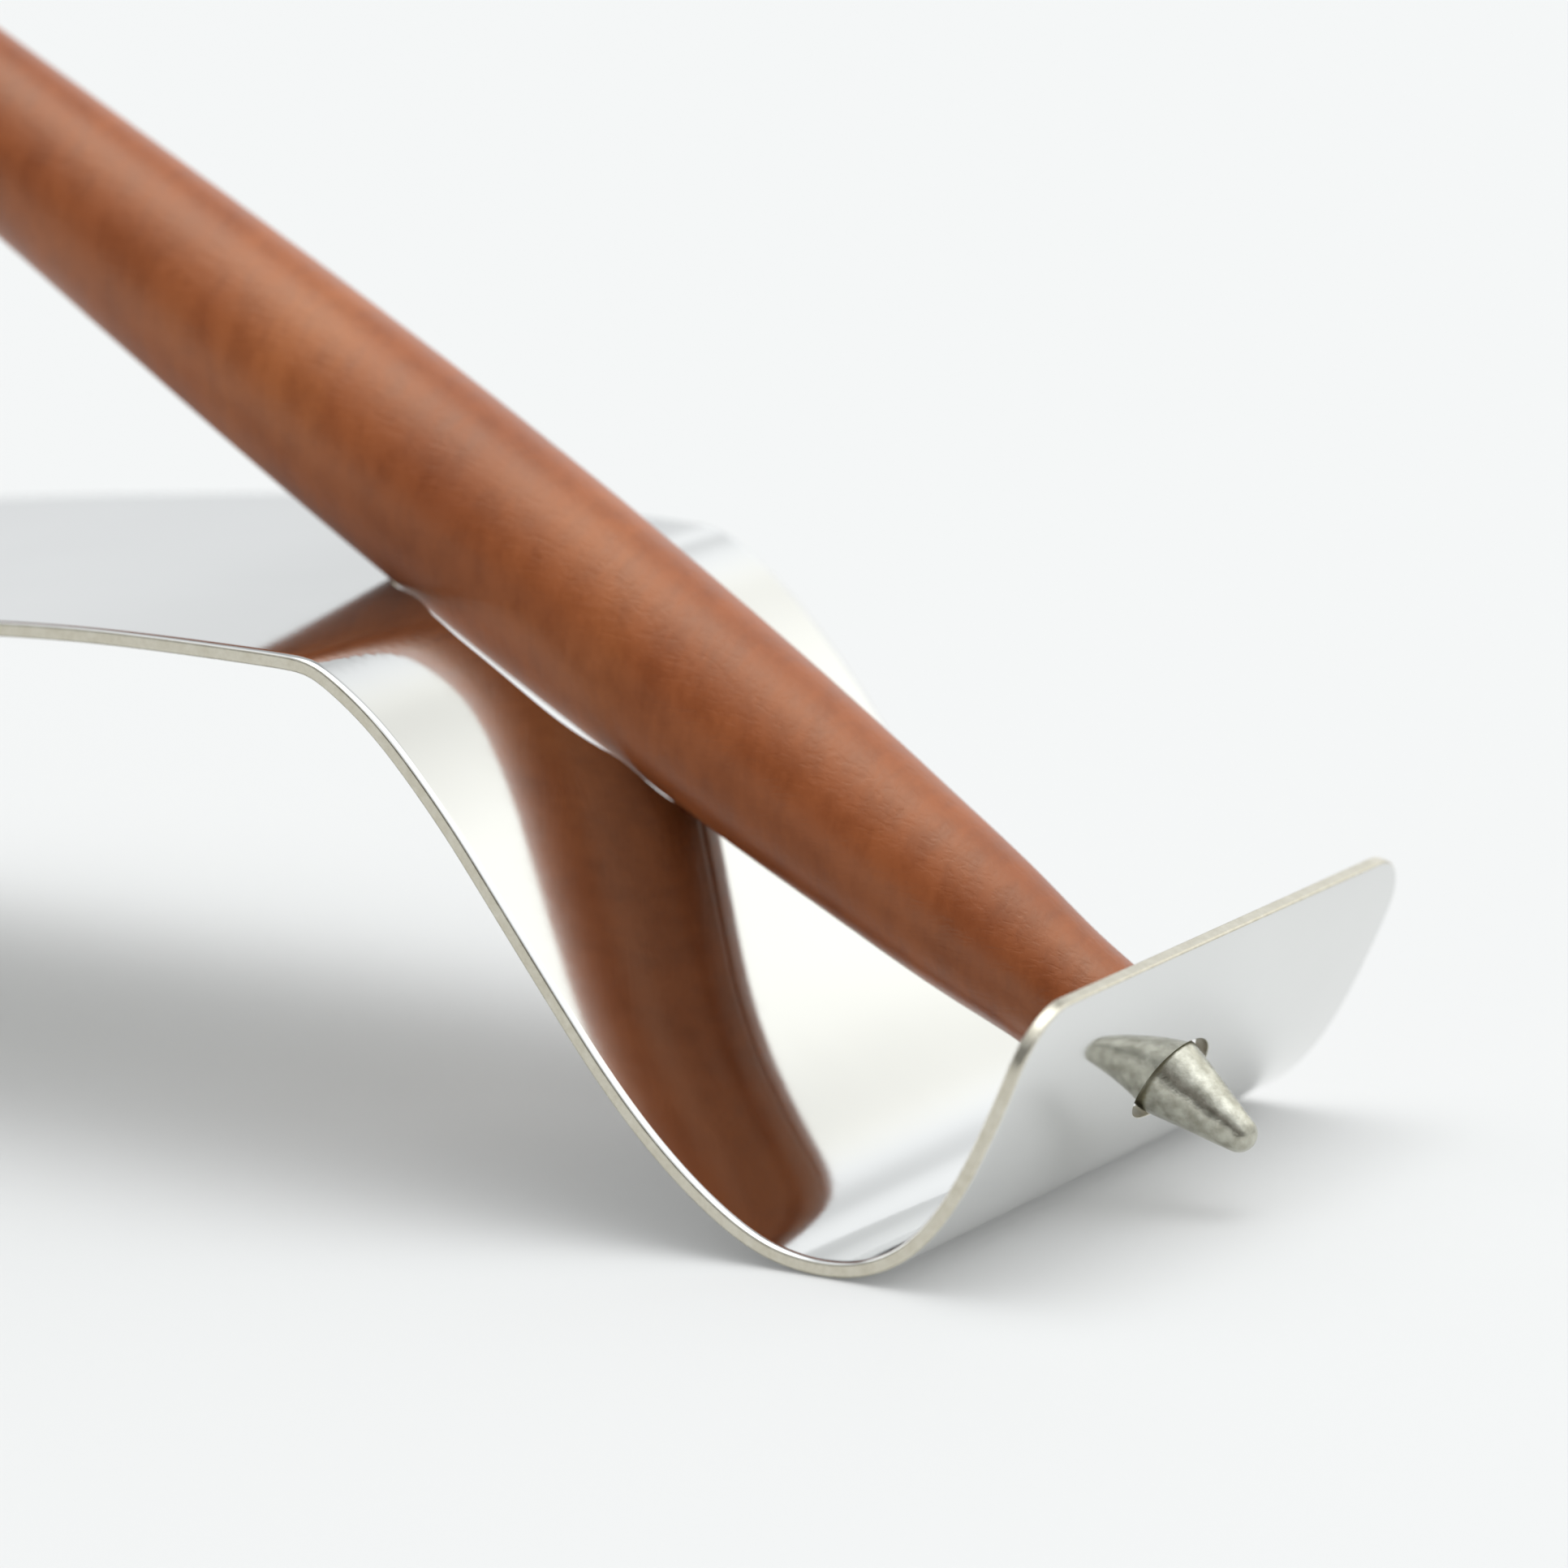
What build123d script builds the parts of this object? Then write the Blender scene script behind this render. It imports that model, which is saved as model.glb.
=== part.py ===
from build123d import *
import math
import os

# A writing instrument with a leather-covered barrel, resting on a stand bent from one strip.
# X runs from the rear of the stand to its front tab, Y across the strip, Z up.
# The exported origin is the centre of the rear foot's underside, on the ground plane.
# While building, X = 0 is at the lowest point of the front trough.

# ---------------------------------------------------------------- strip dimensions, mm
sheet_t = 1.0
strip_w = 46.4
corner_r = 3.8            # corners of the front tab and of the rear foot
pen_gap = 0.05            # between the resting writing part and the stand
tool_margin = 1.0         # cutting tools reach this far outside the strip's edges
tool_reach = 3.0          # cutting tools reach this far to each side of the underside

# Underside of the strip from the rear foot to the front tab:
# (distance along the sheet from about the trough's lowest point, degrees above +X)
bend_table = [
    (-162.41, 0.0), (-152.41, 0.0), (-149.81, 8.0), (-146.61, 24.0), (-143.21, 38.0), (-139.21, 46.5),
    (-134.21, 50.6), (-127.7, 51.5), (-122.0, 49.0), (-117.0, 41.0), (-112.5, 29.5), (-108.0, 16.5),
    (-104.0, 8.2), (-98.0, 6.8), (-92.0, 6.3), (-85.0, 6.0), (-78.0, 5.2), (-71.0, 4.0),
    (-65.0, 2.2), (-60.0, 0.4), (-56.0, -0.3), (-53.0, -0.6), (-50.2, -1.2), (-49.2, -2.2),
    (-48.5, -4.4), (-47.9, -9.5), (-47.3, -18.0), (-46.7, -26.8), (-45.8, -32.0), (-44.6, -35.2),
    (-43.2, -38.8), (-41.5, -42.9), (-39.5, -46.4), (-36.0, -49.4), (-31.5, -52.6), (-26.0, -52.5),
    (-21.5, -51.8), (-17.0, -48.5), (-13.0, -43.4), (-9.6, -38.0), (-7.0, -32.8), (-4.6, -24.6),
    (-2.3, -12.6), (0.0, -2.2), (2.3, 9.6), (4.6, 24.2), (7.0, 39.4), (9.3, 50.4),
    (11.6, 57.5), (13.9, 62.2), (16.2, 64.4), (18.6, 66.2), (20.9, 68.8), (24.3, 75.0),
]
sheet_start, sheet_end = bend_table[0][0], bend_table[-1][0]
foot_end = bend_table[1][0]      # where the flat foot meets the first bend

path_step = 0.05                 # integration step along the sheet
trough_search = 20.0             # the lowest point is looked for from this far behind the trough

# Splitting the sheet into arcs
angle_tolerance = 0.55           # degrees off a straight ramp of the tangent angle
arc_min, arc_max = 0.4, 14.0     # an arc starts at the first length and stops growing at the second
arc_step = 0.2
arc_remainder = 0.5              # a shorter rest is joined to the last arc
flat_ratio = 2e-4                # below this sag to chord ratio an arc becomes a line

# Oval hole in the front tab
hole_at = 14.04                  # distance along the sheet
hole_along, hole_across = 2.70, 4.03     # half sizes

# Opening across the crest that the barrel nests in, cut in one direction
opening_dir = (0.588, 0, 0.809)
opening_x_dir = (0.809, 0, -0.588)
opening_depth = 60.0
opening_below = 15.0             # the cut starts this far below the trough
opening_centre = -44.04
opening_half_length, opening_half_width = 11.14, 9.86
# Half outline, (along, across): rear end, degrees round the oval, front end
opening_rear = [
    (-54.65, 0.0), (-54.2, 1.3), (-53.2, 2.95), (-52.1, 4.15), (-51.0, 5.15),
    (-50.0, 6.15), (-49.0, 7.35), (-48.0, 8.5), (-47.0, 9.3),
]
opening_angles = (80, 94, 108, 122, 135, 146.4)
opening_front = [
    (-34.0, 4.55), (-33.0, 3.8), (-32.0, 3.2), (-31.0, 2.45),
    (-30.3, 1.6), (-29.95, 0.8), (-29.8, 0.0),
]

# ---------------------------------------------------------------- writing part dimensions, mm
# Distances run back along the axis from the centre of the tip's rounded end.
lean = 30.813                    # degrees the axis rises backwards from the ground
tip_x, tip_z = 14.764, 5.023     # centre of the tip's rounded end
tip_r = 1.103
neck_start, neck_end = 5.45, 7.10
neck_r = 2.50
neck_chamfer = 0.15
shank_r, shank_end = 1.60, 24.0
shank_chamfer = 0.4

run_gap = 0.05                   # between the shank and its bush
glue_gap = 0.02                  # between bonded pieces
bush_r, bush_end = 2.25, 22.0

# Outside of the leather: (distance back, radius)
barrel_profile = [
    (9.0, 3.66), (10.8, 3.80), (13.9, 3.95), (18.56, 4.47), (25.5, 5.035), (33.6, 5.553),
    (42.9, 5.983), (53.4, 6.255), (65.0, 6.314), (77.7, 6.064), (91.6, 5.554),
    (106.7, 4.952), (123.0, 4.309), (137.0, 3.76), (145.6, 3.42),
]
leather_t = 0.8
barrel_start = neck_end + 0.06   # front of the leather and of the bush
barrel_end = barrel_profile[-1][0]
# Front edge of the leather, turned in: (distance back, radius)
leather_front_outer = [(barrel_start, 3.12), (7.8, 3.44)]
leather_front_inner = [(barrel_start, 2.46), (8.0, 2.66)]

core_wall = 0.9
core_start = barrel_start + 0.9
core_front_r = 2.60
hollow_start, hollow_end = 26.0, 130.0
tail_bore_r = 1.95

plug_r = 3.36
spigot_start = 132.0
plug_start = barrel_end + 0.03
dome_start = 147.0


# ---------------------------------------------------------------- strip centre path
def monotone_slopes(table):
    """Slopes of a monotone cubic through the table's points."""
    widths = [b[0] - a[0] for a, b in zip(table, table[1:])]
    rates = [(b[1] - a[1]) / w for a, b, w in zip(table, table[1:], widths)]
    slopes = [0.0] * len(table)
    slopes[0], slopes[-1] = rates[0], rates[-1]
    for i in range(1, len(table) - 1):
        if rates[i - 1] * rates[i] > 0:
            before = 2 * widths[i] + widths[i - 1]
            after = widths[i] + 2 * widths[i - 1]
            slopes[i] = (before + after) / (before / rates[i - 1] + after / rates[i])
    return slopes


bend_slopes = monotone_slopes(bend_table)


def angle_at(s):
    """Tangent angle in degrees at a distance along the sheet."""
    if s <= sheet_start:
        return bend_table[0][1]
    if s >= sheet_end:
        return bend_table[-1][1]
    i = max(k for k in range(len(bend_table) - 1) if bend_table[k][0] <= s)
    (s_a, angle_a), (s_b, angle_b) = bend_table[i:i + 2]
    width = s_b - s_a
    t = (s - s_a) / width
    return ((2 * t**3 - 3 * t**2 + 1) * angle_a + (t**3 - 2 * t**2 + t) * width * bend_slopes[i]
            + (-2 * t**3 + 3 * t**2) * angle_b + (t**3 - t**2) * width * bend_slopes[i + 1])


def trace_underside():
    """(x, z) points at even steps, moved so the trough's lowest point is at zero."""
    count = round((sheet_end - sheet_start) / path_step)
    points = [(0.0, 0.0)]
    for k in range(count):
        angle = math.radians(angle_at(sheet_start + (k + 0.5) * path_step))
        x, z = points[-1]
        points.append((x + path_step * math.cos(angle), z + path_step * math.sin(angle)))
    first = count - round((sheet_end + trough_search) / path_step)
    x_low, z_low = min(points[first:count], key=lambda point: point[1])
    return [(x - x_low, z - z_low) for x, z in points]


path = trace_underside()


def sheet_point(s, height=0.0):
    """Point in the XZ plane at a height square to the underside."""
    part = (s - sheet_start) / path_step
    k = min(int(part), len(path) - 2)
    part -= k
    x = path[k][0] * (1 - part) + path[k + 1][0] * part
    z = path[k][1] * (1 - part) + path[k + 1][1] * part
    angle = math.radians(angle_at(s))
    return (x - height * math.sin(angle), 0, z + height * math.cos(angle))


foot_front_x = sheet_point(foot_end)[0]
foot_back_x = foot_front_x - (foot_end - sheet_start)


# ---------------------------------------------------------------- stand_strip
def lines(*points):
    return [Line(a, b) for a, b in zip(points, points[1:])]


def ramp_error(start, end):
    """Largest difference of the tangent angle from a straight ramp."""
    a, b = angle_at(start), angle_at(end)
    return max(abs(angle_at(start + (end - start) * k / 12) - (a + (b - a) * k / 12))
               for k in range(1, 12))


def bend_stations():
    """Splits the sheet into lengths that are each close to one arc."""
    stations = [foot_end]
    while stations[-1] < sheet_end - 1e-6:
        start = stations[-1]
        end = min(start + arc_min, sheet_end)
        while end < sheet_end and end - start < arc_max:
            longer = min(end + arc_step, sheet_end)
            if ramp_error(start, longer) > angle_tolerance:
                break
            end = longer
        if sheet_end - end < arc_remainder:
            end = sheet_end
        stations.append(end)
    return stations


def bend_chain(stations, height):
    """Arcs through the stations on one face of the sheet."""
    edges = []
    for start, end in zip(stations, stations[1:]):
        a, middle, b = [sheet_point(s, height) for s in (start, (start + end) / 2, end)]
        if start == foot_end:
            a = (foot_front_x, 0, height)
        chord = math.dist(a, b)
        sag = math.dist(middle, [(u + v) / 2 for u, v in zip(a, b)])
        edges.append(Line(a, b) if sag < flat_ratio * chord else ThreePointArc(a, middle, b))
    return edges


def bent_sheet():
    stations = bend_stations()
    section = Wire(
        lines((foot_back_x, 0, 0), (foot_front_x, 0, 0))
        + bend_chain(stations, 0.0)
        + lines(sheet_point(sheet_end), sheet_point(sheet_end, sheet_t))
        + bend_chain(stations, sheet_t)
        + lines((foot_front_x, 0, sheet_t), (foot_back_x, 0, sheet_t), (foot_back_x, 0, 0)))
    return extrude(Location((0, strip_w / 2, 0)) * Face(section), strip_w, dir=(0, -1, 0))


def corner_tool(end_point, inward, side):
    """What is left outside a rounded corner of the sheet."""
    normal = Vector(*inward).cross(Vector(0, -side, 0))
    plane = Plane(origin=(end_point[0], side * strip_w / 2, end_point[2]),
                  x_dir=inward, z_dir=normal)
    r, out = corner_r, -tool_margin
    arc_middle = r * (1 - math.sqrt(0.5))
    outside = Face(Wire(
        lines((r, 0, 0), (r, out, 0), (out, out, 0), (out, r, 0), (0, r, 0))
        + [ThreePointArc((0, r, 0), (arc_middle, arc_middle, 0), (r, 0, 0))]))
    return plane.location * extrude(outside, tool_reach, dir=(0, 0, 1), both=True)


def tab_drill():
    """Oval drill square to the tab."""
    angle = math.radians(angle_at(hole_at))
    plane = Plane(origin=sheet_point(hole_at), x_dir=(0, 1, 0),
                  z_dir=(-math.sin(angle), 0, math.cos(angle)))
    return plane.location * extrude(Ellipse(hole_across, hole_along), tool_reach, both=True)


def opening_tool():
    """Oval with narrow rounded ends, mirrored across the strip's middle."""
    half = opening_rear + [
        (opening_centre - opening_half_length * math.cos(math.radians(q)),
         opening_half_width * math.sin(math.radians(q)))
        for q in opening_angles] + opening_front
    outline = half + [(u, -v) for u, v in reversed(half[1:-1])]
    plane = Plane(origin=[-opening_below * c for c in opening_dir],
                  x_dir=opening_x_dir, z_dir=opening_dir)
    points = [plane.from_local_coords((u, v, 0)) for u, v in outline]
    oval = Face(Wire([Spline(points, periodic=True)]))
    return extrude(oval, opening_depth, dir=opening_dir)


def make_strip():
    strip = bent_sheet()
    angle = math.radians(angle_at(sheet_end))
    tab_inward = (-math.cos(angle), 0, -math.sin(angle))
    for side in (-1, 1):
        strip = strip - corner_tool(sheet_point(sheet_end), tab_inward, side)
        strip = strip - corner_tool((foot_back_x, 0, 0), (1, 0, 0), side)
    strip = strip - tab_drill()
    strip = strip - opening_tool()
    return strip - barrel_envelope()


# ---------------------------------------------------------------- writing part
lean_angle = math.radians(lean)
pen = Plane(origin=(tip_x, 0, tip_z), x_dir=(0, 1, 0),
            z_dir=(-math.cos(lean_angle), 0, math.sin(lean_angle))).location


def turned(*edges):
    """Revolve a closed half section (radius, 0, distance back) about the pen axis."""
    return pen * revolve(Face(Wire(list(edges))), Axis.Z)


def chain(*points):
    """Lines through (radius, distance back) points."""
    return lines(*[(r, 0, d) for r, d in points])


def curve_points(profile, grow=0.0):
    """Section points of a (distance back, radius) profile, its radius grown."""
    return [(r + grow, 0, d) for d, r in profile]


def barrel_envelope():
    """The barrel with its clearance, to keep the strip clear of it."""
    outer = curve_points(leather_front_outer + barrel_profile, pen_gap)
    return turned(
        *chain((0.0, barrel_start), (outer[0][0], barrel_start)),
        Spline(outer),
        *chain((outer[-1][0], barrel_end), (0.0, barrel_end), (0.0, barrel_start)))


def make_tip():
    """Rounded end, cone, shoulder and plain shank."""
    cone = math.atan2(neck_r - tip_r, neck_start)
    tangent = (tip_r * math.cos(cone), -tip_r * math.sin(cone))
    diagonal = tip_r * math.sqrt(0.5)
    return turned(
        ThreePointArc((0, 0, -tip_r), (diagonal, 0, -diagonal), (tangent[0], 0, tangent[1])),
        *chain(tangent, (neck_r, neck_start), (neck_r, neck_end - neck_chamfer),
               (neck_r - neck_chamfer, neck_end), (shank_r, neck_end),
               (shank_r, shank_end - shank_chamfer), (shank_r - shank_chamfer, shank_end),
               (0, shank_end), (0, -tip_r)))


def make_bush():
    """Plain tube round the shank."""
    bore = shank_r + run_gap
    return turned(*chain((bore, barrel_start), (bush_r, barrel_start), (bush_r, bush_end),
                         (bore, bush_end), (bore, barrel_start)))


def make_leather():
    """Leather over the whole barrel, its front edge turned in."""
    outer = curve_points(leather_front_outer + barrel_profile)
    inner = curve_points(leather_front_inner) + curve_points(barrel_profile, -leather_t)
    return turned(Spline(outer), Line(outer[-1], inner[-1]),
                  Spline(inner[::-1]), Line(inner[0], outer[0]))


def make_core():
    """Hollow barrel under the leather, bored for the bush and the plug's spigot."""
    outer = curve_points(barrel_profile, -leather_t - glue_gap)
    hollow = curve_points([p for p in barrel_profile if hollow_start < p[0] < hollow_end],
                          -leather_t - core_wall)
    bore_r = bush_r + glue_gap
    return turned(
        Spline([(core_front_r, 0, core_start)] + outer),
        *lines(outer[-1], (tail_bore_r, 0, barrel_end), (tail_bore_r, 0, hollow_end), hollow[-1]),
        Spline(hollow[::-1]),
        *lines(hollow[0], (bore_r, 0, hollow_start), (bore_r, 0, core_start),
               (core_front_r, 0, core_start)))


def make_plug():
    """Domed tail end with a spigot in the barrel."""
    spigot_r = tail_bore_r - glue_gap
    tail_end = dome_start + plug_r
    diagonal = plug_r * math.sqrt(0.5)
    return turned(
        *chain((0, spigot_start), (spigot_r, spigot_start), (spigot_r, plug_start),
               (plug_r, plug_start), (plug_r, dome_start)),
        ThreePointArc((plug_r, 0, dome_start), (diagonal, 0, dome_start + diagonal),
                      (0, 0, tail_end)),
        *chain((0, tail_end), (0, spigot_start)))


# ---------------------------------------------------------------- export
parts = {
    "stand_strip": make_strip(),
    "writing_tip": make_tip(),
    "leather_sleeve": make_leather(),
    "barrel_core": make_core(),
    "tip_bush": make_bush(),
    "tail_plug": make_plug(),
}
os.makedirs("parts", exist_ok=True)
to_origin = Location((-(foot_back_x + foot_front_x) / 2, 0, 0))
for name, shape in parts.items():
    # Cutting may leave loose offcuts, so only the largest solid is kept.
    largest = max((to_origin * shape).solids(), key=lambda solid: solid.volume)
    export_step(largest, "parts/" + name + ".step")
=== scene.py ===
"""Pen stand: a bent steel strip, and a leather-covered pen leaning back over it.

The strip runs along X, its flat foot at the low-X (rear) end and its trough and upturned lip at
the high-X (front) end. Y is across and Z is up, with the foot on z = 0. The pen lies in the middle
plane y = 0, its tip low at the front and its tail high at the rear.
"""
import bmesh
import bpy
import math
import numpy as np
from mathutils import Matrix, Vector, geometry, noise


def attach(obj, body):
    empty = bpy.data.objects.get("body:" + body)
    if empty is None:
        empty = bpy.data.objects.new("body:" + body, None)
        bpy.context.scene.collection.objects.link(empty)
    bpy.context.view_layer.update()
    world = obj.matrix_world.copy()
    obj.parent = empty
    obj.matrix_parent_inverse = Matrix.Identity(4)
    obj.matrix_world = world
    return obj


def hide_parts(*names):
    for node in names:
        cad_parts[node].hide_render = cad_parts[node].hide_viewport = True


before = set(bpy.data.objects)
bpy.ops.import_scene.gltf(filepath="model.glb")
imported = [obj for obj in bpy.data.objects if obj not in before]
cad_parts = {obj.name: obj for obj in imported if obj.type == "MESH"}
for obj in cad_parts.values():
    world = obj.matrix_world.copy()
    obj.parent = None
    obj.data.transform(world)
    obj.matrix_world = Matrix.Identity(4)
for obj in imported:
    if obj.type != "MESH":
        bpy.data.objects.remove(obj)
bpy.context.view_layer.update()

# ------------------------------------------------------------------ layout
# Lengths are in mm, with x = 0 at the lowest point of the strip's front trough.
# to_frame() carries them into the product's frame, in metres.
TROUGH_X = 133.877      # the trough's place in the product's frame


def to_frame(points):
    moved = np.asarray(points, float) / 1000.0
    moved[..., 0] += TROUGH_X / 1000.0
    return moved


def shade_smooth(mesh):
    mesh.polygons.foreach_set("use_smooth", [True] * len(mesh.polygons))


def link_object(name, data):
    made = bpy.data.objects.new(name, data)
    bpy.context.scene.collection.objects.link(made)
    return made


def new_object(name, verts, faces, normals=None):
    """Smooth-shaded mesh object from points in mm."""
    mesh = bpy.data.meshes.new(name)
    mesh.from_pydata([tuple(v) for v in to_frame(np.array(verts))], [], faces)
    mesh.validate()
    shade_smooth(mesh)
    if normals is not None:
        mesh.normals_split_custom_set_from_vertices([tuple(n) for n in normals])
    mesh.update()
    return link_object(name, mesh)


# ------------------------------------------------------------------ the strip's bend
THICK = 1.0
WIDTH = 46.4

# Distance along the sheet from rear to front (mm), angle above the horizontal there (degrees)
BEND = [
    (-162.41, 0.0), (-152.41, 0.0), (-149.81, 8.0), (-146.61, 24.0), (-143.21, 38.0), (-139.21, 46.5),
    (-134.21, 50.6), (-127.7, 51.5), (-122.0, 49.0), (-117.0, 41.0), (-112.5, 29.5), (-108.0, 16.5),
    (-104.0, 8.2), (-98.0, 6.8), (-92.0, 6.3), (-85.0, 6.0), (-78.0, 5.2), (-71.0, 4.0),
    (-65.0, 2.2), (-60.0, 0.4), (-56.0, -0.3), (-53.0, -0.6), (-50.2, -1.2), (-49.2, -2.2),
    (-48.5, -4.4), (-47.9, -9.5), (-47.3, -18.0), (-46.7, -26.8), (-45.8, -32.0), (-44.6, -35.2),
    (-43.2, -38.8), (-41.5, -42.9), (-39.5, -46.4), (-36.0, -49.4), (-31.5, -52.6), (-26.0, -52.5),
    (-21.5, -51.8), (-17.0, -48.5), (-13.0, -43.4), (-9.6, -38.0), (-7.0, -32.8), (-4.6, -24.6),
    (-2.3, -12.6), (0.0, -2.2), (2.3, 9.6), (4.6, 24.2), (7.0, 39.4), (9.3, 50.4),
    (11.6, 57.5), (13.9, 62.2), (16.2, 64.4), (18.6, 66.2), (20.9, 68.8), (24.3, 75.0),
]
REAR_S, FRONT_S = BEND[0][0], BEND[-1][0]
FOOT_S = BEND[1][0]         # front end of the flat foot
BEND_STEP = 0.05            # spacing of the worked-out curve
TROUGH_FROM_S = -20         # the trough's low point is sought beyond here
KERNEL_HALF = 40            # angle smoothing: samples each way, and spread in samples
KERNEL_SPREAD = 5.0


def node_slopes(xs, ys):
    """Node slopes of a monotone cubic."""
    gaps = np.diff(xs)
    rates = np.diff(ys) / gaps
    found = np.zeros(len(xs))
    found[0], found[-1] = rates[0], rates[-1]
    for i in range(1, len(xs) - 1):
        if rates[i - 1] * rates[i] > 0:
            before = 2 * gaps[i] + gaps[i - 1]
            after = gaps[i] + 2 * gaps[i - 1]
            found[i] = (before + after) / (before / rates[i - 1] + after / rates[i])
    return found


def cubic(xs, ys, slopes, x):
    """Cubic Hermite curve through the nodes, at x."""
    x = np.clip(np.asarray(x, float), xs[0], xs[-1])
    i = np.clip(np.searchsorted(xs, x, side="right") - 1, 0, len(xs) - 2)
    gap = xs[i + 1] - xs[i]
    t = (x - xs[i]) / gap
    return ((2 * t**3 - 3 * t**2 + 1) * ys[i] + (t**3 - 2 * t**2 + t) * gap * slopes[i]
            + (-2 * t**3 + 3 * t**2) * ys[i + 1] + (t**3 - t**2) * gap * slopes[i + 1])


node_s, node_angle = np.array(BEND).T
node_rate = node_slopes(node_s, node_angle)
curve_s = np.arange(round((FRONT_S - REAR_S) / BEND_STEP) + 1) * BEND_STEP + REAR_S
step_angle = np.radians(cubic(node_s, node_angle, node_rate, (curve_s[1:] + curve_s[:-1]) / 2))
curve_x = np.concatenate([[0], np.cumsum(BEND_STEP * np.cos(step_angle))])
curve_z = np.concatenate([[0], np.cumsum(BEND_STEP * np.sin(step_angle))])
in_trough = curve_s > TROUGH_FROM_S
lowest = np.where(in_trough)[0][0] + int(np.argmin(curve_z[in_trough]))
curve_x, curve_z = curve_x - curve_x[lowest], curve_z - curve_z[lowest]

# A gently smoothed angle keeps reflections in the sheet clean.
kernel = np.exp(-0.5 * (np.arange(-KERNEL_HALF, KERNEL_HALF + 1) / KERNEL_SPREAD) ** 2)
kernel /= kernel.sum()
curve_angle = cubic(node_s, node_angle, node_rate, curve_s)
curve_angle = np.convolve(np.pad(curve_angle, KERNEL_HALF, mode="edge"), kernel, mode="valid")
curve_angle[curve_s < FOOT_S] = 0.0


def sheet(s, y, height):
    """Points on the bent sheet: distance along it, across it, height above its underside."""
    s, y, height = np.broadcast_arrays(np.asarray(s, float), y, height)
    x = np.interp(s, curve_s, curve_x)
    z = np.where(s <= FOOT_S, 0.0, np.interp(s, curve_s, curve_z))
    angle = np.radians(np.interp(s, curve_s, curve_angle))
    return np.stack([x - height * np.sin(angle), y, z + height * np.cos(angle)], -1)


def sheet_dirs(s):
    """Unit vectors along the sheet and square to it."""
    angle = np.radians(np.interp(s, curve_s, curve_angle))
    zero = np.zeros_like(angle)
    return (np.stack([np.cos(angle), zero, np.sin(angle)], -1),
            np.stack([-np.sin(angle), zero, np.cos(angle)], -1))


# ------------------------------------------------------------------ the strip's outlines
# Loops are anticlockwise in the flat sheet, as (distance along, across).
CORNER_R = 3.8
OUTLINE_STEP = 0.5
OVAL_STEP = 0.42
HOLE_S, HOLE_HALF_LONG, HOLE_HALF_WIDE = 14.04, 2.70, 4.03
HOLE_POINTS = 96

# Half of the oval opening: distance u along OVAL_DIR, half width there
HALF_OVAL = [
    (-54.6, 0.0), (-54.14, 1.15), (-53.33, 2.68), (-52.51, 3.60), (-51.7, 4.30), (-50.88, 4.98),
    (-50.06, 5.78), (-49.23, 6.72), (-48.38, 7.82), (-47.44, 8.92), (-46.28, 9.62), (-45.14, 9.80),
    (-44.09, 9.74), (-43.05, 9.58), (-42.0, 9.34), (-40.96, 9.06), (-39.93, 8.70), (-38.91, 8.27),
    (-37.91, 7.74), (-36.91, 7.08), (-35.92, 6.28), (-34.94, 5.30), (-33.95, 4.36), (-32.97, 3.74),
    (-31.99, 3.16), (-31.02, 2.44), (-30.3, 1.6), (-29.95, 0.8), (-29.8, 0.0),
]
OVAL_DIR = (0.809, -0.588)          # x and z of a line sloping down to the front
OVAL_SEARCH = (-75, -15)            # stretch of the sheet that holds the opening


def resample(loop, step):
    """Even points on a closed loop."""
    path = np.vstack([loop, loop[:1]])
    run = np.concatenate([[0], np.cumsum(np.hypot(*np.diff(path, axis=0).T))])
    count = int(round(run[-1] / step))
    at = np.arange(count) / count * run[-1]
    return np.stack([np.interp(at, run, path[:, 0]), np.interp(at, run, path[:, 1])], 1)


def unit_2d(vectors):
    return vectors / np.hypot(*vectors.T)[:, None]


def loop_normals(loop):
    """Unit normals to the left of the direction of travel."""
    travel = unit_2d(np.roll(loop, -1, 0) - np.roll(loop, 1, 0))
    return np.stack([-travel[:, 1], travel[:, 0]], 1)


def catmull(points, per_span=24):
    """Closed smooth curve through points."""
    points = np.asarray(points, float)
    count = len(points)
    t = (np.arange(per_span) / per_span)[:, None]
    spans = []
    for i in range(count):
        p0, p1, p2, p3 = (points[(i + k) % count] for k in (-1, 0, 1, 2))
        spans.append(0.5 * ((2 * p1) + (p2 - p0) * t + (2 * p0 - 5 * p1 + 4 * p2 - p3) * t**2
                            + (-p0 + 3 * p1 - 3 * p2 + p3) * t**3))
    return np.concatenate(spans)


def smooth_loop(loop, rounds):
    for _ in range(rounds):
        loop = 0.5 * loop + 0.25 * (np.roll(loop, 1, 0) + np.roll(loop, -1, 0))
    return loop


def sheet_outline():
    """Outer outline with its rounded corners."""
    near_y, far_y = -WIDTH / 2 + CORNER_R, WIDTH / 2 - CORNER_R
    front, rear = FRONT_S - CORNER_R, REAR_S + CORNER_R
    points = []
    for s, y, start in ((front, near_y, -90), (front, far_y, 0), (rear, far_y, 90),
                        (rear, near_y, 180)):
        for angle in np.radians(np.linspace(start, start + 90, 14)):
            points.append((s + CORNER_R * math.cos(angle), y + CORNER_R * math.sin(angle)))
    return resample(np.array(points), OUTLINE_STEP)


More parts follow.
